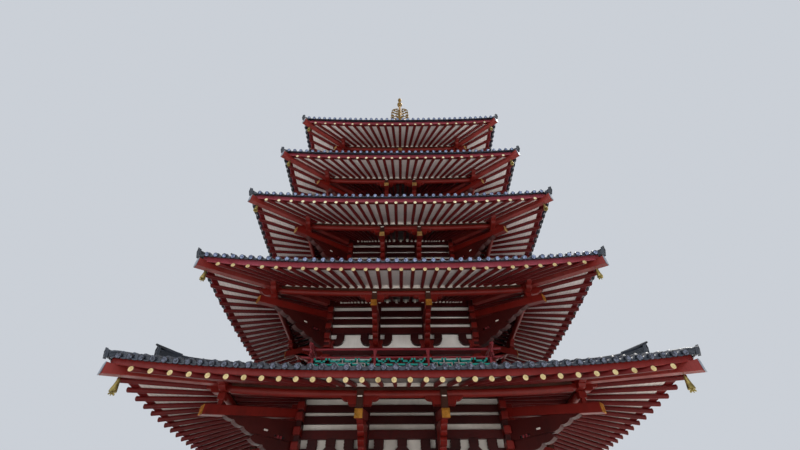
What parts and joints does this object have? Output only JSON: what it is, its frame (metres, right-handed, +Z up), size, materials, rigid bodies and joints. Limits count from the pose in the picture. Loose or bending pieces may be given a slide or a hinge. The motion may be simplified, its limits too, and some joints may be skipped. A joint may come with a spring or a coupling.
{
  "type": "five-storey pagoda",
  "caption": "Timber pagoda on a stone podium: curved tiled roofs on bracketed eaves, railed upper storeys and a gilded ring finial.",
  "frame": {"origin": "on the ground under the centre of the podium", "axes": "+Z up along the heart pillar, -Y towards the front steps, +X to the right seen from the front"},
  "size_m": [16.7298, 16.7298, 39.2],
  "materials": {
    "stone": "dressed granite",
    "plaster": "matt lime plaster",
    "vermilion": "vermilion paint",
    "door_red": "vermilion paint",
    "roof_tile": "smoked clay",
    "railing_red": "vermilion paint",
    "cypress": "planed cypress",
    "gilt": "gilded bronze"
  },
  "bodies": {
    "root": {"stone_podium": "stone", "podium_steps_front": "stone", "door_front": "door_red", "podium_steps_right": "stone", "door_right": "door_red", "podium_steps_back": "stone", "door_back": "door_red", "podium_steps_left": "stone", "door_left": "door_red", "storey_1_walls": "plaster", "storey_1_timber_frame": "vermilion", "storey_1_brackets": "vermilion", "corner_rafters_1": "vermilion", "eaves_1": "vermilion", "roof_tiles_1": "roof_tile", "storey_2_walls": "plaster", "storey_2_timber_frame": "vermilion", "storey_2_brackets": "vermilion", "corner_rafters_2": "vermilion", "eaves_2": "vermilion", "roof_tiles_2": "roof_tile", "storey_2_railing": "railing_red", "storey_3_walls": "plaster", "storey_3_timber_frame": "vermilion", "storey_3_brackets": "vermilion", "corner_rafters_3": "vermilion", "eaves_3": "vermilion", "roof_tiles_3": "roof_tile", "storey_3_railing": "railing_red", "storey_4_walls": "plaster", "storey_4_timber_frame": "vermilion", "storey_4_brackets": "vermilion", "corner_rafters_4": "vermilion", "eaves_4": "vermilion", "roof_tiles_4": "roof_tile", "storey_4_railing": "railing_red", "storey_5_walls": "plaster", "storey_5_timber_frame": "vermilion", "storey_5_brackets": "vermilion", "corner_rafters_5": "vermilion", "eaves_5": "vermilion", "roof_tiles_5": "roof_tile", "storey_5_railing": "railing_red", "heart_pillar": "cypress", "finial_base": "gilt", "finial_rings": "gilt", "water_flame": "gilt", "finial_jewels": "gilt"}
  },
  "joints": []
}
